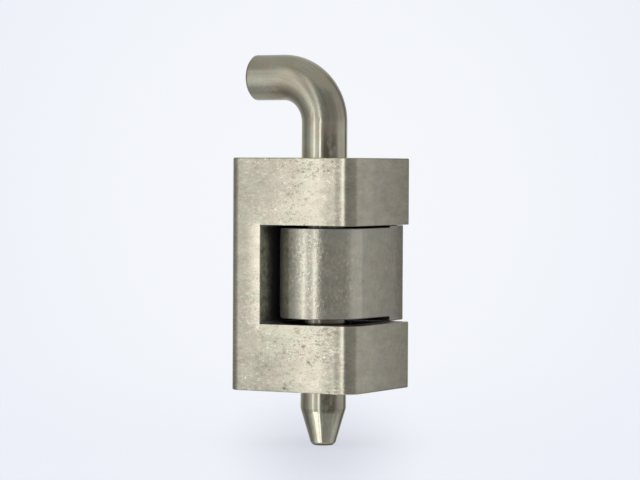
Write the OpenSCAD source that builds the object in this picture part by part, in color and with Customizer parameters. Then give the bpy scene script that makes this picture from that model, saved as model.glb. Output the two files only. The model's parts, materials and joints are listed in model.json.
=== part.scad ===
// Concealed cabinet hinge with a lift-out bent pin.
//
// A C-shaped body is screwed to the cabinet frame. A round-nosed leaf sits in
// the body's slot and is screwed to the door. A bent pin runs through both.
//
// Frame: the origin is the middle of the body's screw pattern, on its back
// face. +Z runs up the pin, +Y leaves the back face, +X points away from the
// spine. All sizes are in millimetres.

/* [Body] */
// Width of the body across its front face
body_w = 18.4; // [17:0.1:24]
// Depth of the body from front face to back face
body_d = 16.4; // [15.4:0.1:24]
// Height of each of the two arms
arm_h = 8.8; // [7.5:0.1:14]
// Height of the slot between the arms
slot_h = 12.9; // [10:0.1:24]
// Thickness of the spine that joins the arms
spine_t = 4.7; // [3:0.1:6]
// Radius of the vertical front edge on the open side
front_edge_r = 2; // [0.8:0.1:3]
// Radius of the gentler curve that leads from the front face into that edge
front_lead_r = 5; // [3.5:0.1:8]
// How far the gentler curve runs along the front face
front_lead_run = 1.4; // [0.6:0.1:2.5]
// Radius of the vertical front edge on the spine side
spine_edge_r = 1.5; // [0.8:0.1:3]
// Radius of the two vertical back edges
back_edge_r = 0.6; // [0.5:0.1:1.5]

/* [Leaf] */
// Diameter of the leaf's round nose, which is also its width
leaf_w = 11.5; // [10:0.1:13]
// How far the leaf's tail stands past the back of the body
tail_past_back = 2.1; // [0.5:0.1:8]
// Length of the taller foot at the end of the tail
foot_len = 4.4; // [1:0.1:6]
// Radius of the two vertical edges at the end of the tail
tail_edge_r = 0.8; // [0.5:0.1:2]

/* [Pin] */
// Diameter of the pin
pin_d = 6; // [5:0.1:7]
// Straight length of the pin below the body, down to its taper
pin_drop = 2.3; // [0.5:0.1:6]
// Length of the tapered tip
tip_len = 4.9; // [3:0.1:8]
// Diameter at the end of the tip
tip_d = 3.3; // [2:0.1:4]
// Straight length of the pin above the body, up to its bend
pin_stand = 4.6; // [2:0.1:10]
// Radius of the bend on its inner side
bend_inner_r = 3; // [1:0.1:6]
// Straight length of the handle after the bend
handle_len = 4.5; // [2:0.1:12]
// Chamfer on the end of the handle
handle_chamfer = 0.4; // [0.2:0.1:1.5]
// Rounding at the end of the tip
tip_edge = 0.35; // [0.1:0.05:0.8]

/* [Screws] */
// Drilled diameter of the tapped holes
drill_d = 4.2; // [3.3:0.1:5]
// Nominal diameter of the screw thread
screw_d = 5; // [4:0.5:6]
// Wall left between a tapped hole's point and the pin bore
hole_web = 1; // [0.6:0.1:2]

/* [Clearances] */
// Radial clearance of the pin in the body's arms
pin_clear = 0.05; // [0.02:0.01:0.1]
// Radial clearance of the pin in the leaf
leaf_clear = 0.08; // [0.02:0.01:0.1]
// Gap between the leaf and the spine
side_gap = 0.4; // [0.2:0.05:1]
// Gap between the leaf and the upper arm
gap_above = 0.35; // [0.2:0.05:1]
// Gap between the leaf and the lower arm
gap_below = 0.7; // [0.2:0.05:1]
// Gap between the tail's foot and each arm, as it swings through the slot
foot_gap = 0.1; // [0.1:0.05:0.3]
// How far the leaf's nose sits behind the body's front face
nose_inset = 0.45; // [0.2:0.05:1.5]

/* [Edges] */
// Chamfer along the outer edges of the body and the leaf
edge_break = 0.1; // [0.1:0.05:0.4]
// Chamfer at the mouth of each pin bore
bore_chamfer = 0.4; // [0.1:0.05:0.8]

/* [Hidden] */
$fn = 96;
// Overlap that carries a cutter clear of the face it cuts
past = 0.15;
// Angle by which a cutter runs on round a curve
run_on_angle = 3;
// Angle between a drill point's side and its flat
drill_point_angle = 31;

pin_r = pin_d / 2;
drill_r = drill_d / 2;
nose_r = leaf_w / 2;
body_h = 2 * arm_h + slot_h;
body_top = body_h / 2;
slot_top = slot_h / 2;
leaf_h = slot_h - gap_above - gap_below;
leaf_bottom = -slot_top + gap_below;
foot_h = slot_h - 2 * foot_gap;

// Place of the pin's axis in the body
axis_x = -body_w / 2 + spine_t + side_gap + nose_r;
axis_y = -body_d + nose_inset + nose_r;

// Leaf length behind the pin's axis
leaf_tail = tail_past_back - axis_y;

// Radii of the pin bores
arm_bore_r = pin_r + pin_clear;
leaf_bore_r = pin_r + leaf_clear;

// Tapped holes: one in the middle of each arm's back, one in the tail's end
drill_point = drill_r * tan(drill_point_angle);
arm_hole_z = slot_top + arm_h / 2;
arm_hole_depth = -axis_y - arm_bore_r - hole_web - drill_point;
leaf_hole_depth = leaf_tail - leaf_bore_r - hole_web - drill_point;

// Centreline radius of the pin's bend
bend_r = bend_inner_r + pin_r;

// A rounded outline is a list of arcs, anticlockwise: [centre, radius, start angle, sweep].
function arc_point(arc, angle) = arc[0] + arc[1] * [cos(angle), sin(angle)];
function arc_start(arc) = arc_point(arc, arc[2]);
function arc_end(arc) = arc_point(arc, arc[2] + arc[3]);

// Middles of the two curves of the front edge on the open side
front_lead_angle = asin(front_lead_run / front_lead_r);
front_turn = 270 + front_lead_angle;
front_edge_at = [
    body_w / 2 - front_edge_r,
    -body_d + front_lead_r + (front_lead_r - front_edge_r) * sin(front_turn),
];
front_lead_at = front_edge_at - (front_lead_r - front_edge_r) * [cos(front_turn), sin(front_turn)];

// Arcs of the body's plan, starting at its back edge on the open side
body_arcs = [
    [[body_w / 2 - back_edge_r, -back_edge_r], back_edge_r, 0, 90],
    [[-body_w / 2 + back_edge_r, -back_edge_r], back_edge_r, 90, 90],
    [[-body_w / 2 + spine_edge_r, -body_d + spine_edge_r], spine_edge_r, 180, 90],
    [front_lead_at, front_lead_r, 270, front_lead_angle],
    [front_edge_at, front_edge_r, front_turn, 90 - front_lead_angle],
];

// Arcs of the leaf's plan about the pin's axis: the tail's two edges and the nose
leaf_arcs = [
    [[nose_r - tail_edge_r, leaf_tail - tail_edge_r], tail_edge_r, 0, 90],
    [[-nose_r + tail_edge_r, leaf_tail - tail_edge_r], tail_edge_r, 90, 90],
    [[0, 0], nose_r, 180, 180],
];

// Slice of an arc's circle, from its centre out to the arc.
module sector(arc) {
    beyond = [arc[0], 2 * arc[1]];
    intersection() {
        translate(arc[0]) circle(arc[1]);
        polygon([arc[0], for (i = [0 : 3]) arc_point(beyond, arc[2] + arc[3] * i / 3)]);
    }
}

// Flat outline of a list of arcs.
module outline(arcs) {
    polygon([for (arc = arcs) each [arc_start(arc), arc_end(arc)]]);
    for (arc = arcs) sector(arc);
}

// Section of the cutter that chamfers an outer edge of radius r, with the edge at height 0.
module chamfer_section(r, size) {
    polygon([[r - size - past, past], [r + past, -size - past], [r + past, past]]);
}

// Cutter that runs round an outline at height 0 and chamfers its upper edge. Where two arcs
// meet, the first runs on past the tighter one after it, where it cuts nothing more.
module rim_cutter(arcs, size) {
    for (i = [0 : len(arcs) - 1]) {
        arc = arcs[i];
        next = arcs[(i + 1) % len(arcs)];
        side = norm(arc_start(next) - arc_end(arc));
        meets_next = side < past;
        translate(arc[0]) {
            rotate(arc[2]) rotate_extrude(angle = arc[3] + (meets_next ? run_on_angle : 0))
                chamfer_section(arc[1], size);
            if (!meets_next) rotate(arc[2] + arc[3]) translate([0, side, 0]) rotate([90, 0, 0])
                linear_extrude(side) chamfer_section(arc[1], size);
        }
    }
}

// Upright slab of an outline, from height 0 to h, with its upper and lower edges broken.
module slab(arcs, h, size) {
    difference() {
        linear_extrude(h) outline(arcs);
        translate([0, 0, h]) rim_cutter(arcs, size);
        mirror([0, 0, 1]) rim_cutter(arcs, size);
    }
}

// Cutter for an upright bore from height 0 to h, chamfered at both mouths.
module bore_cutter(r, h, size) {
    translate([0, 0, -past]) cylinder(r = r, h = h + 2 * past);
    for (end = [0, 1]) translate([0, 0, end * h]) mirror([0, 0, end])
        translate([0, 0, -past]) cylinder(r1 = r + size + past, r2 = r, h = size + past);
}

// Cutter for a tapped hole drilled from the plane y = 0 towards -Y.
module tapped_hole_cutter(depth) {
    mouth = (screw_d - drill_d) / 2;
    rotate([90, 0, 0]) rotate_extrude() polygon([
        [0, -past],
        [drill_r + mouth + past, -past],
        [drill_r, mouth],
        [drill_r, depth],
        [0, depth + drill_point],
    ]);
}

// Puts its children on the pin's axis.
module on_axis() {
    translate([axis_x, axis_y, 0]) children();
}

// Body: a block with two arms, a slot open to the front, side and back, and a spine.
module hinge_body() {
    color([0.76, 0.74, 0.67]) difference() {
        translate([0, 0, -body_top]) slab(body_arcs, body_h, edge_break);
        translate([-body_w / 2 + spine_t, -body_d - past, -slot_top])
            cube([body_w - spine_t + past, body_d + 2 * past, slot_h]);
        for (arm = [-1, 1]) {
            on_axis() translate([0, 0, arm * arm_hole_z - arm_h / 2])
                bore_cutter(arm_bore_r, arm_h, bore_chamfer);
            translate([0, 0, arm * arm_hole_z]) tapped_hole_cutter(arm_hole_depth);
        }
    }
}

// End of the leaf's tail, which fills more of the slot's height than the rest.
module tail_foot() {
    intersection() {
        translate([0, 0, -foot_h / 2]) slab(leaf_arcs, foot_h, edge_break);
        translate([-leaf_w, leaf_tail - foot_len, -foot_h]) cube([2 * leaf_w, 2 * foot_len, 2 * foot_h]);
    }
}

// Leaf: a round nose about the pin, and a tail whose foot takes the door's screw.
module hinge_leaf() {
    color([0.70, 0.68, 0.63]) on_axis() difference() {
        union() {
            translate([0, 0, leaf_bottom]) slab(leaf_arcs, leaf_h, edge_break);
            tail_foot();
        }
        translate([0, 0, leaf_bottom]) bore_cutter(leaf_bore_r, leaf_h, bore_chamfer);
        translate([0, leaf_tail, 0]) tapped_hole_cutter(leaf_hole_depth);
    }
}

// Pin: tapered tip and shaft turned as one profile, then a quarter bend and a short handle. Heights
// are measured from the start of the bend.
module hinge_pin() {
    bend_start = body_top + pin_stand;
    taper_at = -body_top - pin_drop - bend_start;
    color([0.73, 0.71, 0.66]) on_axis() translate([0, 0, bend_start]) {
        rotate_extrude() polygon([
            [0, taper_at - tip_len],
            [tip_d / 2 - tip_edge, taper_at - tip_len],
            [tip_d / 2, taper_at - tip_len + tip_edge],
            [pin_r, taper_at],
            [pin_r, 0],
            [0, 0],
        ]);
        translate([-bend_r, 0, 0]) {
            rotate([90, 0, 0]) rotate_extrude(angle = 90) translate([bend_r, 0]) circle(pin_r);
            translate([0, 0, bend_r]) rotate([0, -90, 0]) rotate_extrude() polygon([
                [0, 0],
                [pin_r, 0],
                [pin_r, handle_len - handle_chamfer],
                [pin_r - handle_chamfer, handle_len],
                [0, handle_len],
            ]);
        }
    }
}

hinge_body();
hinge_leaf();
hinge_pin();
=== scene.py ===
"""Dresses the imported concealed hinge: camera, studio, steel finishes, soft edges and screw threads."""
import json
import math

import bmesh
import bpy
from mathutils import Matrix, Vector

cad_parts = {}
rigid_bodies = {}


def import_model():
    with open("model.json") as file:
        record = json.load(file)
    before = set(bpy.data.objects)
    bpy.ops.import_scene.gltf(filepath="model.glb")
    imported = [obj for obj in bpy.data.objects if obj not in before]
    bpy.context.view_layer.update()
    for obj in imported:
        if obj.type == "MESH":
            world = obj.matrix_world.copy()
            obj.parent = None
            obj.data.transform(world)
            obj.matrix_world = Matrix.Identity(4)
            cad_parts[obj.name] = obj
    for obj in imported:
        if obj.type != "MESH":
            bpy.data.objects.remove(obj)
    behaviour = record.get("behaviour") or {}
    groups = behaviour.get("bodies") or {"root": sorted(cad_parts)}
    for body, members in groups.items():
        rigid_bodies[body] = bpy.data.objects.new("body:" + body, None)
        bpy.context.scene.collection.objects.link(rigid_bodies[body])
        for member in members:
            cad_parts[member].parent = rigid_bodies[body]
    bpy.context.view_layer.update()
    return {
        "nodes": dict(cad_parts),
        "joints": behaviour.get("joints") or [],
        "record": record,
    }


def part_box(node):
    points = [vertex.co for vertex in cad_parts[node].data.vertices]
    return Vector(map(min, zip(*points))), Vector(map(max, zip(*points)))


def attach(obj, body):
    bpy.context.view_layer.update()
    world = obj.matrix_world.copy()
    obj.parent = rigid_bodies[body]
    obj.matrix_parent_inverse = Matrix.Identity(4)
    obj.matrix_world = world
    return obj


MM = 0.001

# Sizes of the hinge that the frame doesn't give, in millimetres
SPINE_T = 4.7
SLOT_H = 12.9
BEND_R = 6.0

# Camera, fitted to the edges of the hinge in the photograph
PICTURE_W = 640
PICTURE_H = 480
FOCAL_PX = 2894.5
SENSOR_W = 36
VIEW_AZIMUTH = math.radians(28.17)
VIEW_ELEVATION = math.radians(1.46)
VIEW_ROLL = math.radians(0.281)
VIEW_DISTANCE = 380 * MM
VIEW_RIGHT_SHIFT = -0.536 * MM
VIEW_UP_SHIFT = 4.474 * MM

# Backdrop, pale in the middle of the view, bluer towards its corners, with a soft pool of shade low down
BACKDROP_MIDDLE = (0.913, 0.930, 0.965, 1)
BACKDROP_EDGE = (0.855, 0.880, 0.947, 1)
BACKDROP_SPREAD = math.radians(7.2)
BACKDROP_PLACE_PX = (320, 195)
POOL_COLOUR = (0.690, 0.710, 0.785, 1)
POOL_PLACE_PX = (323, 451)
POOL_HALF_PX = (118, 76)

# Floor, which lets the backdrop through and fades out away from the hinge
FLOOR_RADIUS = 160 * MM
FLOOR_FADE_FROM = 40 * MM
FLOOR_SEGMENTS = 96
FLOOR_COLOUR = (0.95, 0.96, 0.98, 1)
FLOOR_COVER = 0.15

# Light tent round the hinge: levels by bearing in degrees, from the camera round to its right
TENT_RADIUS = 70 * MM
TENT_HALF_HEIGHT = 105 * MM
TENT_FADE = 25 * MM
TENT_SEGMENTS = 128
TENT_STRENGTH = 1.7
TENT_LEVELS = [
    (-180, 0.70), (-138, 0.34), (-110, 0.18), (-88, 0.29), (-76, 0.42), (-66, 0.61), (-60, 0.75),
    (-57, 0.83), (-54, 1.50), (-52, 1.48), (-49, 0.90), (-45, 0.74), (-40, 0.58), (-35, 0.54),
    (-31, 0.62), (-27, 1.02), (-23, 1.68), (-20, 1.22), (-17, 0.50), (-12, 0.30), (0, 0.21),
    (60, 0.26), (78, 0.42), (114, 0.44), (118, 0.425), (120, 0.365), (121, 0.32), (123, 0.285),
    (126, 0.15), (137, 0.15), (152, 0.55), (180, 0.70),
]
TENT_TOP = (0.42, 0.41, 0.39)
TENT_BOTTOM = (0.62, 0.61, 0.57)

# Share of those levels by height on the tent's wall in millimetres
TENT_SHARES = [
    (-105, 0.80), (-88, 0.85), (-78, 1.15), (-58, 1.15), (-48, 0.75), (-27, 0.70), (-21, 1.0),
    (8, 1.0), (14, 0.97), (17, 1.12), (21, 1.08), (27, 0.88), (40, 0.84), (60, 0.9), (105, 0.8),
]

# Low white card beside the camera, which the pin's tip mirrors
CARD_LEVELS = (1.5, 1.5, 1.5)
CARD_BEARING = (math.radians(-57), math.radians(-34))
CARD_HEIGHT = (-95 * MM, -45 * MM)
CARD_SOFT = math.radians(4)

# Noise in the steel: scale by the millimetre, detail and roughness, and the range of its values that is used
GRAIN_NOISE = {"detail": 3, "roughness": 0.6}
GRAIN_RANGE = (0.3, 0.7)
PATCH_NOISE = {"detail": 1}
PATCH_RANGE = (0.35, 0.65)
CLOUD_SCALE = 0.7
CLOUD_STRETCH = (0.6, 0.5, 1.1)
CLOUD_RANGE = (0.25, 0.75)
DRIFT_SCALE = 0.22
DRIFT_RANGE = (0.4, 0.6)

# Specks: noise, either way from its middle, that leaves none, and how much bright ones outdo dark ones
SPECK_NOISE = {"detail": 3, "roughness": 0.75}
SPECK_MIDDLE = 0.5
SPECK_HOLD = 0.045
SPECK_GLINT = 1.6

# How squarely a face looks sideways where its specks thin out, and the extra roughness of a pit
FLANK_RANGE = (0.85, 0.98)
PIT_DULLNESS = 0.15

# Specks on the body: the share left on the spine and at the corner, and where, in millimetres from its left
SPINE_SPECKS = 0.3
SPINE_SPECKS_RUN = (2.0, 11.0)
CORNER_SPECKS_RUN = (15.0, 16.6)
LOWER_ARM_SPECKS = 1.3

# Edges of the body's front that tumbling rolled over a little, in millimetres
SLOT_ROLL_RUN = 2.5
SLOT_ROLL_DROP = 0.09
SLOT_ROLL_FADE = (1.0, -0.5)
CORNER_ROLL_FROM = 5.0
CORNER_ROLL_TO = 1.8
CORNER_ROLL_DROP = 0.075
ROLL_DEPTH = (6.0, 2.0)

# Tone beside the slot: shares of tone near it and towards the body's ends, and where, in millimetres
SLOT_SIDE_TONE = (1.06, 0.87)
SLOT_SIDE_HEIGHT = (7.0, 12.5)
SLOT_SIDE_ACROSS = (-4.0, -1.0)
SLOT_SIDE_SOFT = 3.0
SLOT_SIDE_DEPTH = (1.5, 0.3)

# Roll of the leaf towards the end of its tail, in millimetres
TAIL_ROLL_RUN = 3.4
TAIL_ROLL_DROP = 0.12

# Milled steel in gaps and holes, by how open a place is within the reach, which also sets painted shade
MILLED_COLOUR = (0.66, 0.65, 0.605, 1)
MILLED_ROUGHNESS = 0.33
OPEN_REACH = 2.4 * MM
OPEN_SAMPLES = 8
MILLED_RANGE = (0.95, 0.55)

# Rough skin of the casting, dark as painted shade, and the openness over which it darkens inwards
SKIN_SHADE_COLOUR = (0.185, 0.18, 0.12, 1)
SKIN_ROUGHNESS = 0.7
SKIN_SHADE_RANGE = (0.73, 0.40)
SKIN_SCALE = 1.1
SKIN_NOISE = {"detail": 4, "roughness": 0.7}
SKIN_MOTTLE = 0.6

# The slot's end wall, which has that skin, in millimetres off the wall, from its ends and behind the front
WALL_OFF = 0.02
WALL_FADE = 0.3
WALL_DEPTH = (0.05, 0.3)

# Painted shade in a thin film on the knuckle's side facing the wall, and its run in millimetres from the
# pin's axis
KNUCKLE_SHADE_SHARE = 0.13
KNUCKLE_SHADE_RUN = (-1.8, -4.2)

# Painted shade: near black in the narrowest gaps, by how open a place is
PAINTED_SHADE_COLOUR = (0.02, 0.02, 0.018, 1)
PAINTED_SHADE_RANGE = (0.40, 0.1)

# The pin's bend and handle, which the bores don't polish: extra roughness, a share of tone that is painted
# shade, and where they set in, in millimetres from the start of the bend
HANDLE_DULLNESS = 0.16
HANDLE_SHADE_TONE = 0.83
HANDLE_FADE = (-1.0, 3.0)

# Painted shade in brown streaks on one side of the pin by the bores, and how far it runs out of them in
# millimetres
BORE_SHADE_COLOUR = (0.30, 0.25, 0.185, 1)
BORE_SHADE_RUN = (6.0, 0.5)
BORE_SHADE_SIDE = (0.656, -0.755, 0)
BORE_SHADE_FACING = (2.73, 2.93)
BORE_SHADE_SCALE = 1.3
BORE_SHADE_STRETCH = (1, 1, 0.4)
BORE_SHADE_NOISE = {"detail": 3, "roughness": 0.65}
BORE_SHADE_RANGE = (0.30, 0.60)

# Softening of the CAD edges
WELD_REACH = 0.0005 * MM
FLAT_ANGLE = math.radians(0.5)
EDGE_WIDTH = 0.08 * MM
EDGE_SEGMENTS = 2
EDGE_ANGLE = math.radians(25)

# Screw threads: a ridge sunk a little into the hole's wall. Its foot, crest and start are in shares of
# the pitch, and it eases in and out over some of the segments in a turn
THREAD_PITCH = 0.8 * MM
THREAD_HEIGHT = 0.3 * MM
THREAD_SINK = 0.02 * MM
THREAD_FOOT = 0.36
THREAD_CREST = 0.08
THREAD_START = 0.5
THREAD_SEGMENTS = 40
THREAD_EASE = 12
BODY_THREAD_DEPTH = 4.6 * MM
LEAF_THREAD_DEPTH = 6.6 * MM

# Places of the factor and the two colours among a Mix node's inputs, and of the colour among its outputs
MIX_INPUTS = (0, 6, 7)
MIX_OUTPUT = 2


class Graph:
    """Adds and joins the nodes of one material or world."""

    def __init__(self, owner):
        owner.use_nodes = True
        self.tree = owner.node_tree
        self.tree.nodes.clear()

    def feed(self, socket, value):
        """Links a socket to another node's output, or sets its constant."""
        if isinstance(value, bpy.types.NodeSocket):
            self.tree.links.new(value, socket)
        else:
            socket.default_value = value

    def add(self, kind, settings=None, **inputs):
        """Adds a node; an input's name is written with underscores for spaces."""
        node = self.tree.nodes.new("ShaderNode" + kind)
        for name, value in (settings or {}).items():
            setattr(node, name, value)
        for name, value in inputs.items():
            self.feed(node.inputs[name.replace("_", " ")], value)
        return node

    def math(self, operation, *values):
        node = self.add("Math", {"operation": operation})
        for socket, value in zip(node.inputs, values):
            self.feed(socket, value)
        return node.outputs[0]

    def plus(self, first, second):
        return self.math("ADD", first, second)

    def minus(self, first, second):
        return self.math("SUBTRACT", first, second)

    def times(self, first, *others):
        for other in others:
            first = self.math("MULTIPLY", first, other)
        return first

    def absolute(self, value):
        return self.math("ABSOLUTE", value)

    def vector(self, operation, *values, out="Vector"):
        node = self.add("VectorMath", {"operation": operation})
        for socket, value in zip(node.inputs, values):
            self.feed(socket, value)
        return node.outputs[out]

    def dot(self, first, second):
        return self.vector("DOT_PRODUCT", first, second, out="Value")

    def length(self, vector):
        return self.vector("LENGTH", vector, out="Value")

    def scaled(self, vector, factor):
        node = self.add("VectorMath", {"operation": "SCALE"}, Vector=vector, Scale=factor)
        return node.outputs["Vector"]

    def split(self, vector):
        return self.add("SeparateXYZ", Vector=vector).outputs

    def join(self, x, y, z):
        return self.add("CombineXYZ", X=x, Y=y, Z=z).outputs["Vector"]

    def noise(self, vector, scale, detail=2.0, roughness=0.5):
        node = self.add("TexNoise", Vector=vector, Scale=scale, Detail=detail, Roughness=roughness)
        return node.outputs["Fac"]

    def span(self, value, low, high, to_low=0.0, to_high=1.0, smooth=False):
        """Maps low..high to to_low..to_high, held at both ends."""
        kind = "SMOOTHSTEP" if smooth else "LINEAR"
        node = self.add("MapRange", {"interpolation_type": kind}, Value=value, From_Min=low,
                        From_Max=high, To_Min=to_low, To_Max=to_high)
        return node.outputs["Result"]

    def window(self, value, low, high, soft):
        """One between low and high, and zero a soft width outside them."""
        return self.times(self.span(value, low - soft, low, smooth=True),
                          self.span(value, high, high + soft, 1, 0, smooth=True))

    def ramp(self, position, stops):
        """A grey ramp through (position, level) stops."""
        node = self.add("ValToRGB", Fac=position)
        elements = node.color_ramp.elements
        while len(elements) < len(stops):
            elements.new(1.0)
        for element, (place, level) in zip(elements, stops):
            element.position = place
            element.color = (level, level, level, 1)
        return node.outputs["Color"]

    def mix(self, factor, first, second, blend="MIX"):
        node = self.add("Mix", {"data_type": "RGBA", "blend_type": blend})
        for index, value in zip(MIX_INPUTS, (factor, first, second)):
            self.feed(node.inputs[index], value)
        return node.outputs[MIX_OUTPUT]


def link(name, data):
    """Makes an object of a mesh or a camera and puts it in the scene."""
    made = bpy.data.objects.new(name, data)
    bpy.context.scene.collection.objects.link(made)
    return made


def link_mesh(name, bm):
    """Turns a finished bmesh into an object in the scene."""
    mesh = bpy.data.meshes.new(name)
    bm.to_mesh(mesh)
    bm.free()
    return link(name, mesh)


def view_axes():
    """The photograph's right, up and backward directions, before the camera's roll."""
    level = Vector((math.sin(VIEW_AZIMUTH), -math.cos(VIEW_AZIMUTH), 0))
    right = Vector((math.cos(VIEW_AZIMUTH), math.sin(VIEW_AZIMUTH), 0))
    back = level * math.cos(VIEW_ELEVATION) + Vector((0, 0, math.sin(VIEW_ELEVATION)))
    return right, back.cross(right), back


def slopes(place_px):
    """How far right and up a pixel of the photograph lies, for each unit of distance ahead."""
    return (place_px[0] - PICTURE_W / 2) / FOCAL_PX, (PICTURE_H / 2 - place_px[1]) / FOCAL_PX


def make_camera(pivot):
    """Camera at the photograph's viewing angle, aimed near a point on the pin's axis."""
    right, up, back = view_axes()
    target = pivot + right * VIEW_RIGHT_SHIFT + Vector((0, 0, VIEW_UP_SHIFT))
    turned_right = right * math.cos(VIEW_ROLL) + up * math.sin(VIEW_ROLL)
    turned_up = up * math.cos(VIEW_ROLL) - right * math.sin(VIEW_ROLL)
    lens = bpy.data.cameras.new("camera")
    lens.sensor_width = SENSOR_W
    lens.lens = SENSOR_W * FOCAL_PX / PICTURE_W
    camera = link("camera", lens)
    turn = Matrix((turned_right, turned_up, back)).transposed().to_4x4()
    camera.matrix_world = Matrix.Translation(target + back * VIEW_DISTANCE) @ turn
    bpy.context.scene.camera = camera


def make_world():
    """Pale world, lightest where the photograph's camera looks, with a pool of shade under the hinge."""
    world = bpy.data.worlds.new("backdrop")
    bpy.context.scene.world = world
    graph = Graph(world)
    direction = graph.add("TexCoord").outputs["Generated"]
    right, up, back = view_axes()
    middle_x, middle_y = slopes(BACKDROP_PLACE_PX)
    middle = (right * middle_x + up * middle_y - back).normalized()
    spread = graph.span(graph.dot(direction, middle), math.cos(BACKDROP_SPREAD), 1)
    colour = graph.mix(spread, BACKDROP_EDGE, BACKDROP_MIDDLE)

    pool_x, pool_y = slopes(POOL_PLACE_PX)
    ahead = graph.dot(direction, -back)
    aside = graph.math("DIVIDE", graph.dot(direction, right), ahead)
    above = graph.math("DIVIDE", graph.dot(direction, up), ahead)
    across = graph.math("DIVIDE", graph.minus(aside, pool_x), POOL_HALF_PX[0] / FOCAL_PX)
    upward = graph.math("DIVIDE", graph.minus(above, pool_y), POOL_HALF_PX[1] / FOCAL_PX)
    from_pool = graph.length(graph.join(across, upward, 0.0))
    in_front = graph.math("GREATER_THAN", ahead, 0.0)
    pool = graph.times(graph.span(from_pool, 1, 0, smooth=True), in_front)
    colour = graph.mix(pool, colour, POOL_COLOUR)
    shade = graph.add("Background", Color=colour, Strength=1.0)
    graph.add("OutputWorld", Surface=shade.outputs["Background"])


def make_floor(level):
    """Pale disc under the hinge that takes its shadow and fades into the backdrop."""
    bm = bmesh.new()
    bmesh.ops.create_circle(bm, cap_ends=True, segments=FLOOR_SEGMENTS, radius=FLOOR_RADIUS)
    floor = link_mesh("floor", bm)
    floor.location = (0, 0, level)
    paint = bpy.data.materials.new("floor_paint")
    graph = Graph(paint)
    distance = graph.length(graph.add("TexCoord").outputs["Object"])
    cover = graph.span(distance, FLOOR_FADE_FROM, FLOOR_RADIUS, FLOOR_COVER, 0, smooth=True)
    clear = graph.add("BsdfTransparent").outputs["BSDF"]
    matt = graph.add("BsdfDiffuse", Color=FLOOR_COLOUR).outputs["BSDF"]
    shade = graph.add("MixShader", Fac=cover)
    graph.feed(shade.inputs[1], clear)
    graph.feed(shade.inputs[2], matt)
    graph.add("OutputMaterial", Surface=shade.outputs["Shader"])
    floor.data.materials.append(paint)
    floor.visible_glossy = False


def cloth_colour(levels):
    """Colour of a cloth that gives these levels at the tent's strength."""
    return (*[level / TENT_STRENGTH for level in levels], 1)


def make_tent(centre):
    """Upright round light tent that only the steel reflects: bright cloths on the left, darker elsewhere."""
    bm = bmesh.new()
    bmesh.ops.create_cone(bm, cap_ends=True, segments=TENT_SEGMENTS, radius1=TENT_RADIUS,
                          radius2=TENT_RADIUS, depth=2 * TENT_HALF_HEIGHT)
    tent = link_mesh("tent", bm)
    tent.location = centre
    tent.rotation_euler = (0, 0, VIEW_AZIMUTH)
    cloth = bpy.data.materials.new("tent_cloth")
    graph = Graph(cloth)
    x, y, z = graph.split(graph.add("TexCoord").outputs["Object"])
    bearing = graph.math("ARCTAN2", x, graph.times(y, -1.0))
    around = graph.span(bearing, -math.pi, math.pi)
    stops = [(bearing_deg / 360 + 0.5, level / TENT_STRENGTH) for bearing_deg, level in TENT_LEVELS]
    upright = graph.span(z, -TENT_HALF_HEIGHT, TENT_HALF_HEIGHT)
    shares = [(height * MM / TENT_HALF_HEIGHT / 2 + 0.5, share) for height, share in TENT_SHARES]
    wall = graph.mix(1.0, graph.ramp(around, stops), graph.ramp(upright, shares), blend="MULTIPLY")
    card = graph.times(graph.window(bearing, *CARD_BEARING, CARD_SOFT),
                       graph.window(z, *CARD_HEIGHT, TENT_RADIUS * CARD_SOFT))
    wall = graph.mix(card, wall, cloth_colour(CARD_LEVELS))
    caps = graph.mix(upright, cloth_colour(TENT_BOTTOM), cloth_colour(TENT_TOP))
    on_wall = graph.span(graph.absolute(z), TENT_HALF_HEIGHT, TENT_HALF_HEIGHT - TENT_FADE, smooth=True)
    glow = graph.add("Emission", Color=graph.mix(on_wall, caps, wall), Strength=TENT_STRENGTH)
    graph.add("OutputMaterial", Surface=glow.outputs["Emission"])
    tent.data.materials.append(cloth)
    tent.visible_camera = False
    tent.visible_diffuse = False
    tent.visible_shadow = False


def surface_place(graph, stretch=None):
    """Object coordinates in millimetres, times a factor along each axis where a stretch is given."""
    place = graph.scaled(graph.add("TexCoord").outputs["Object"], 1 / MM)
    return graph.vector("MULTIPLY", place, stretch) if stretch else place


def rod_place(graph, bend, along):
    """Coordinates that follow the bent rod: across it twice, then along it times a factor."""
    x, y, z = graph.split(surface_place(graph))
    beyond_x = graph.minus(x, bend.x / MM)
    beyond_z = graph.minus(z, bend.z / MM)
    arm_x = graph.math("MAXIMUM", beyond_x, 0.0)
    arm_z = graph.math("MAXIMUM", beyond_z, 0.0)
    across = graph.minus(graph.length(graph.join(arm_x, arm_z, 0.0)), BEND_R)
    aside = graph.minus(y, bend.y / MM)
    turned = graph.times(graph.math("ARCTAN2", arm_z, arm_x), BEND_R)
    straight = graph.minus(graph.math("MINIMUM", beyond_z, 0.0), graph.math("MINIMUM", beyond_x, 0.0))
    return graph.join(across, aside, graph.times(graph.plus(turned, straight), along))


def behind_front(graph, y, low, depth, smooth=False):
    """Rises from nought at the first depth to one at the second, in millimetres behind the body's front."""
    front_y = low.y / MM
    return graph.span(y, front_y + depth[0], front_y + depth[1], smooth=smooth)


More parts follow.
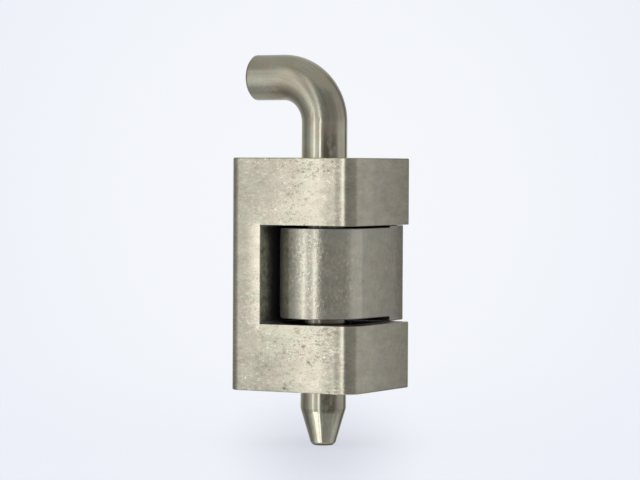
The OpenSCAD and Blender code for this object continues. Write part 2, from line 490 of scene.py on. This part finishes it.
def rolled_front(graph, low, high):
    """How far the body's front drops in millimetres, towards the slot and towards its right corner."""
    x, y, z = graph.split(surface_place(graph))
    wall_x = low.x / MM + SPINE_T
    to_slot = graph.span(x, wall_x - SLOT_ROLL_RUN, wall_x)
    slot_ends = [SLOT_H / 2 + fade for fade in SLOT_ROLL_FADE]
    in_slot = graph.span(graph.absolute(z), *slot_ends, smooth=True)
    on_spine = graph.minus(1.0, graph.math("GREATER_THAN", x, wall_x))
    slot_roll = graph.times(to_slot, to_slot, in_slot, on_spine)
    corner_roll = graph.span(x, high.x / MM - CORNER_ROLL_FROM, high.x / MM - CORNER_ROLL_TO, smooth=True)
    drop = graph.plus(graph.times(slot_roll, SLOT_ROLL_DROP), graph.times(corner_roll, CORNER_ROLL_DROP))
    return graph.times(drop, behind_front(graph, y, low, ROLL_DEPTH, smooth=True))


def speck_share(graph, low):
    """Share of specks on the body: few on the smooth spine and at the corner, more on the lower arm."""
    place = graph.split(surface_place(graph))
    from_left = graph.minus(place["X"], low.x / MM)
    off_spine = graph.span(from_left, *SPINE_SPECKS_RUN, SPINE_SPECKS, 1.0)
    off_corner = graph.span(from_left, *CORNER_SPECKS_RUN, 1.0, SPINE_SPECKS)
    downwards = graph.span(place["Z"], SLOT_H / 2, -SLOT_H / 2, 1.0, LOWER_ARM_SPECKS, smooth=True)
    return graph.times(off_spine, off_corner, downwards)


def slot_side_tone(graph, low):
    """Share of the tone of the body's front: brighter beside the slot and duller towards the ends."""
    x, y, z = graph.split(surface_place(graph))
    by_height = graph.span(graph.absolute(z), *SLOT_SIDE_HEIGHT, *SLOT_SIDE_TONE, smooth=True)
    beside = graph.window(x, *SLOT_SIDE_ACROSS, SLOT_SIDE_SOFT)
    at_front = behind_front(graph, y, low, SLOT_SIDE_DEPTH)
    return graph.plus(1.0, graph.times(graph.minus(by_height, 1.0), beside, at_front))


def slot_wall_share(graph, low):
    """One on the spine's wall in the slot and nought elsewhere."""
    x, y, z = graph.split(surface_place(graph))
    in_height = graph.span(graph.absolute(z), SLOT_H / 2, SLOT_H / 2 - WALL_FADE)
    off_wall = graph.absolute(graph.minus(x, low.x / MM + SPINE_T))
    at_wall = graph.math("LESS_THAN", off_wall, WALL_OFF)
    return graph.times(in_height, at_wall, behind_front(graph, y, low, WALL_DEPTH))


def knuckle_shade_film(graph, axis):
    """Share of painted shade on the leaf's knuckle, a thin film thickest on the side that faces the slot's
    end wall.
    """
    from_axis = graph.minus(graph.split(surface_place(graph))["X"], axis.x / MM)
    return graph.span(from_axis, *KNUCKLE_SHADE_RUN, 0.0, KNUCKLE_SHADE_SHARE, smooth=True)


def rolled_tail(graph, high):
    """How far the leaf's faces drop in millimetres towards the end of its tail."""
    y = graph.split(surface_place(graph))["Y"]
    to_end = graph.span(y, high.y / MM - TAIL_ROLL_RUN, high.y / MM)
    return graph.times(to_end, to_end, TAIL_ROLL_DROP)


def handle_share(graph, bend):
    """Nought on the pin's shaft and one on its bend and handle."""
    past_shaft = graph.minus(graph.split(surface_place(graph))["Z"], bend.z / MM)
    return graph.span(past_shaft, *HANDLE_FADE, smooth=True)


def bore_shade_share(graph, axis, body_high):
    """How much painted shade is on the pin: streaks on one side of its shaft that thin out beyond the bores.
    """
    place = surface_place(graph)
    out_of_bore = graph.minus(graph.absolute(graph.split(place)["Z"]), body_high.z / MM)
    near = graph.span(out_of_bore, *BORE_SHADE_RUN, smooth=True)
    from_axis = graph.vector("SUBTRACT", place, axis / MM)
    facing = graph.span(graph.dot(from_axis, BORE_SHADE_SIDE), *BORE_SHADE_FACING)
    streaks = graph.noise(surface_place(graph, BORE_SHADE_STRETCH), BORE_SHADE_SCALE, **BORE_SHADE_NOISE)
    return graph.times(near, facing, graph.span(streaks, *BORE_SHADE_RANGE, smooth=True))


def make_specks(graph, place, speck, share_of):
    """Specks in drifts, bright ones above nought and dark ones below, fewer on faces that look sideways."""
    stretched = graph.vector("MULTIPLY", place, speck["stretch"])
    field = graph.minus(graph.noise(stretched, speck["scale"], **SPECK_NOISE), SPECK_MIDDLE)
    bright = graph.times(graph.math("MAXIMUM", graph.minus(field, SPECK_HOLD), 0.0), SPECK_GLINT)
    dark = graph.math("MINIMUM", graph.plus(field, SPECK_HOLD), 0.0)
    drifts = graph.noise(place, DRIFT_SCALE)
    drifts = graph.span(drifts, *DRIFT_RANGE, speck["least"], 1.0, smooth=True)
    specks = graph.times(graph.plus(bright, dark), drifts)
    if share_of:
        specks = graph.times(specks, share_of(graph))
    sideways = graph.absolute(graph.split(graph.add("TexCoord").outputs["Normal"])["X"])
    return graph.times(specks, graph.span(sideways, *FLANK_RANGE, 1, speck["flank"], smooth=True))


def make_pits(graph, place, pit):
    """Round pits in some cells of the surface: one in a pit's middle and nought outside it."""
    cells = graph.add("TexVoronoi", {"feature": "F1"}, Vector=place, Scale=pit["scale"], Randomness=1.0)
    chosen = graph.math("GREATER_THAN", graph.split(cells.outputs["Color"])["X"], 1 - pit["share"])
    bowl = graph.span(cells.outputs["Distance"], pit["size"] * pit["scale"], 0.0, smooth=True)
    return graph.times(bowl, chosen)


def skin_and_shade_tone(graph, place, open_share):
    """Mottled colour of the casting's rough skin, dark as painted shade and darker where a place is less
    open.
    """
    skin = graph.mix(graph.span(open_share, *SKIN_SHADE_RANGE), SKIN_SHADE_COLOUR, PAINTED_SHADE_COLOUR)
    mottle = graph.noise(place, SKIN_SCALE, **SKIN_NOISE)
    return graph.scaled(skin, graph.span(mottle, *GRAIN_RANGE, 1 - SKIN_MOTTLE, 1 + SKIN_MOTTLE))


def make_steel(name, grain_of, colour, warm, roughness, grain, speck, pit, cloud, patch, milled=True,
               share_of=None, slot_side_tone_of=None, skin_and_shade_of=None, dull_and_shade_of=None, bore_shade_of=None, drop_of=None):
    """Tumbled steel: two hues in patches, fine grain, specks, pits and clouds, other finishes and painted
    shade in places.
    """
    steel = bpy.data.materials.new(name)
    graph = Graph(steel)
    place = surface_place(graph)
    fine = graph.noise(grain_of(graph), grain["scale"], **GRAIN_NOISE)
    specks = make_specks(graph, place, speck, share_of)
    pits = make_pits(graph, place, pit)

    # Tone and roughness of the tumbled steel
    clouds = graph.noise(graph.vector("MULTIPLY", place, CLOUD_STRETCH), CLOUD_SCALE)
    shade = graph.span(fine, *GRAIN_RANGE, 1 - grain["tone"], 1 + grain["tone"])
    shade = graph.plus(shade, graph.times(specks, speck["tone"]))
    shade = graph.plus(shade, graph.span(clouds, *CLOUD_RANGE, -cloud, cloud))
    shade = graph.minus(shade, graph.times(pits, pit["tone"]))
    if slot_side_tone_of:
        shade = graph.times(shade, slot_side_tone_of(graph))
    patches = graph.span(graph.noise(place, patch, **PATCH_NOISE), *PATCH_RANGE, smooth=True)
    tone = graph.scaled(graph.mix(patches, colour, warm), shade)
    rough = graph.plus(graph.span(fine, *GRAIN_RANGE, *roughness), graph.times(pits, PIT_DULLNESS))
    metal = 1.0

    # Other finishes over it, and painted shade
    openness = graph.add("AmbientOcclusion", {"samples": OPEN_SAMPLES}, Distance=OPEN_REACH)
    open_share = openness.outputs["AO"]
    if milled:
        enclosed = graph.span(open_share, *MILLED_RANGE, smooth=True)
        tone = graph.mix(enclosed, tone, MILLED_COLOUR)
        rough = graph.math("MAXIMUM", rough, graph.times(enclosed, MILLED_ROUGHNESS))
    # Rough skin on the slot wall and a thin film on the knuckle, whose dark colour is painted shade
    if skin_and_shade_of:
        covered = skin_and_shade_of(graph)
        tone = graph.mix(covered, tone, skin_and_shade_tone(graph, place, open_share))
        rough = graph.math("MAXIMUM", rough, graph.times(covered, SKIN_ROUGHNESS))
        metal = graph.minus(1.0, covered)
    # Painted shade: near black where a place is least open
    tone = graph.mix(graph.span(open_share, *PAINTED_SHADE_RANGE, smooth=True), tone, PAINTED_SHADE_COLOUR)
    # Rougher bend and handle, whose darker tone is painted shade
    if dull_and_shade_of:
        dull_and_shade = dull_and_shade_of(graph)
        tone = graph.scaled(tone, graph.span(dull_and_shade, 0, 1, 1, HANDLE_SHADE_TONE))
        rough = graph.plus(rough, graph.times(dull_and_shade, HANDLE_DULLNESS))
    # Painted shade in brown streaks beside the bores
    if bore_shade_of:
        tone = graph.mix(bore_shade_of(graph), tone, BORE_SHADE_COLOUR)

    # Relief in millimetres
    height = graph.plus(graph.times(fine, grain["depth"]), graph.times(specks, speck["depth"]))
    height = graph.minus(height, graph.times(pits, pit["depth"]))
    if drop_of:
        height = graph.minus(height, drop_of(graph))
    relief = graph.add("Bump", Strength=1.0, Distance=MM, Height=height)
    shader = graph.add("BsdfPrincipled", Base_Color=tone, Metallic=metal, Roughness=rough,
                       Normal=relief.outputs["Normal"])
    graph.add("OutputMaterial", Surface=shader.outputs["BSDF"])
    return steel


def body_steel(low, high):
    """Cast steel with many specks, a front rolled beside the slot and brighter there, and a rough slot wall
    in painted shade.
    """
    return make_steel(
        "body_finish", lambda graph: surface_place(graph, (0.4, 0.2, 1)),
        colour=(0.66, 0.638, 0.51, 1), warm=(0.69, 0.634, 0.52, 1), roughness=(0.13, 0.2),
        grain={"scale": 4.5, "tone": 0.075, "depth": 0.004},
        speck={"scale": 2.0, "stretch": (0.65, 0.65, 1.2), "tone": 3.3, "depth": 0.08, "least": 0.4,
               "flank": 0.35},
        pit={"scale": 1.2, "share": 0.3, "size": 0.14, "tone": 0.3, "depth": 0.015},
        cloud=0.11, patch=0.4,
        share_of=lambda graph: speck_share(graph, low),
        slot_side_tone_of=lambda graph: slot_side_tone(graph, low),
        skin_and_shade_of=lambda graph: slot_wall_share(graph, low),
        drop_of=lambda graph: rolled_front(graph, low, high),
    )


def leaf_steel(axis, high):
    """Steel with an upright grain, painted shade in a thin film on the knuckle, and a tail whose end is
    rolled.
    """
    return make_steel(
        "leaf_finish", lambda graph: surface_place(graph, (1, 1, 0.12)),
        colour=(0.72, 0.70, 0.58, 1), warm=(0.75, 0.70, 0.58, 1), roughness=(0.14, 0.2),
        grain={"scale": 4.0, "tone": 0.035, "depth": 0.004},
        speck={"scale": 2.4, "stretch": (1, 1, 0.9), "tone": 2.2, "depth": 0.05, "least": 0.45,
               "flank": 0.3},
        pit={"scale": 1.2, "share": 0.3, "size": 0.14, "tone": 0.35, "depth": 0.012},
        cloud=0.1, patch=0.4,
        skin_and_shade_of=lambda graph: knuckle_shade_film(graph, axis),
        drop_of=lambda graph: rolled_tail(graph, high),
    )


def pin_steel(axis, bend, body_high):
    """Drawn rod, streaked along its length, polished on its shaft, dull and in painted shade on its handle
    and at the bores.
    """
    return make_steel(
        "pin_finish", lambda graph: rod_place(graph, bend, along=0.06),
        colour=(0.655, 0.588, 0.465, 1), warm=(0.66, 0.655, 0.53, 1), roughness=(0.07, 0.13),
        grain={"scale": 3.0, "tone": 0.08, "depth": 0.004},
        speck={"scale": 1.2, "stretch": (1, 1, 1), "tone": 0.35, "depth": 0.006, "least": 0.3,
               "flank": 1.0},
        pit={"scale": 0.7, "share": 0.2, "size": 0.14, "tone": 0.3, "depth": 0.008},
        cloud=0.06, patch=0.3, milled=False,
        dull_and_shade_of=lambda graph: handle_share(graph, bend),
        bore_shade_of=lambda graph: bore_shade_share(graph, axis, body_high),
    )


def soften_edges(node):
    """Rounds a CAD piece's sharp edges a little, so that they catch the light."""
    weld = node.modifiers.new("weld", "WELD")
    weld.merge_threshold = WELD_REACH
    flat = node.modifiers.new("flat", "DECIMATE")
    flat.decimate_type = "DISSOLVE"
    flat.angle_limit = FLAT_ANGLE
    edge = node.modifiers.new("edge", "BEVEL")
    edge.width = EDGE_WIDTH
    edge.segments = EDGE_SEGMENTS
    edge.limit_method = "ANGLE"
    edge.angle_limit = EDGE_ANGLE
    edge.harden_normals = False
    shade = node.modifiers.new("shade", "WEIGHTED_NORMAL")
    shade.keep_sharp = False


def make_thread(name, mouth, axis_in, radius, depth):
    """Helical ridge of an internal thread, from a hole's mouth inwards, eased in and out at its ends."""
    side = Vector((1, 0, 0))
    other = axis_in.cross(side)
    profile = [(THREAD_SINK, -THREAD_FOOT), (-THREAD_HEIGHT, -THREAD_CREST),
               (-THREAD_HEIGHT, THREAD_CREST), (THREAD_SINK, THREAD_FOOT)]
    turns = depth / THREAD_PITCH - 1
    steps = int(turns * THREAD_SEGMENTS)
    bm = bmesh.new()
    rings = []
    for step in range(steps + 1):
        angle = 2 * math.pi * step / THREAD_SEGMENTS
        out = side * math.cos(angle) + other * math.sin(angle)
        turn = step / THREAD_SEGMENTS + THREAD_START
        ease = min(1, step / THREAD_EASE, (steps - step) / THREAD_EASE)
        ring = []
        for rise, share in profile:
            eased = rise * ease if rise < 0 else rise
            inward = axis_in * ((turn + share) * THREAD_PITCH)
            ring.append(bm.verts.new(mouth + out * (radius + eased) + inward))
        rings.append(ring)
    for first, second in zip(rings, rings[1:]):
        for i in range(len(profile)):
            j = (i + 1) % len(profile)
            bm.faces.new((first[i], first[j], second[j], second[i]))
    bm.faces.new(rings[0])
    bm.faces.new(reversed(rings[-1]))
    bmesh.ops.recalc_face_normals(bm, faces=bm.faces)
    return link_mesh(name, bm)


# The frame
for old in list(bpy.data.objects):
    bpy.data.objects.remove(old)
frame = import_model()
nodes = frame["nodes"]
record = frame["record"]
swing = next(joint for joint in frame["joints"] if joint["name"] == "leaf_swing")
pivot = Vector(swing["pos_m"])
pin_low, pin_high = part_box("hinge_pin")
body_low, body_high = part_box("hinge_body")
leaf_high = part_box("hinge_leaf")[1]

# The studio
bpy.context.scene.view_settings.view_transform = "Standard"
make_camera(pivot)
make_world()
make_floor(pin_low.z)
make_tent(pivot)

# The steel
pin_r = pin_high.x - pivot.x
bend = Vector((pivot.x - BEND_R * MM, pivot.y, pin_high.z - pin_r - BEND_R * MM))
finishes = {
    "hinge_body": body_steel(body_low, body_high),
    "hinge_leaf": leaf_steel(pivot, leaf_high),
    "hinge_pin": pin_steel(pivot, bend, body_high),
}
for name, steel in finishes.items():
    nodes[name].data.materials.clear()
    nodes[name].data.materials.append(steel)
    soften_edges(nodes[name])

# The threads
mounts = {mount["name"]: mount for mount in record["mounts"]}
arm_z = mounts["body_screws"]["dims"]["spacing_y_mm"] * MM / 2
leaf_mid = Vector(mounts["leaf_screw"]["pos_m"])
body_hole = (mounts["body_screws"]["dims"]["hole_r_mm"] * MM, BODY_THREAD_DEPTH, "body", "hinge_body")
leaf_hole = (mounts["leaf_screw"]["dims"]["r_mm"] * MM, LEAF_THREAD_DEPTH, "leaf", "hinge_leaf")
threads = [
    ("body_thread_upper", Vector((0, body_high.y, arm_z)), *body_hole),
    ("body_thread_lower", Vector((0, body_high.y, -arm_z)), *body_hole),
    ("leaf_thread", Vector((leaf_mid.x, leaf_high.y, leaf_mid.z)), *leaf_hole),
]
for name, mouth, radius, depth, body, like in threads:
    thread = make_thread(name, mouth, Vector((0, -1, 0)), radius, depth)
    thread.data.materials.append(finishes[like])
    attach(thread, body)
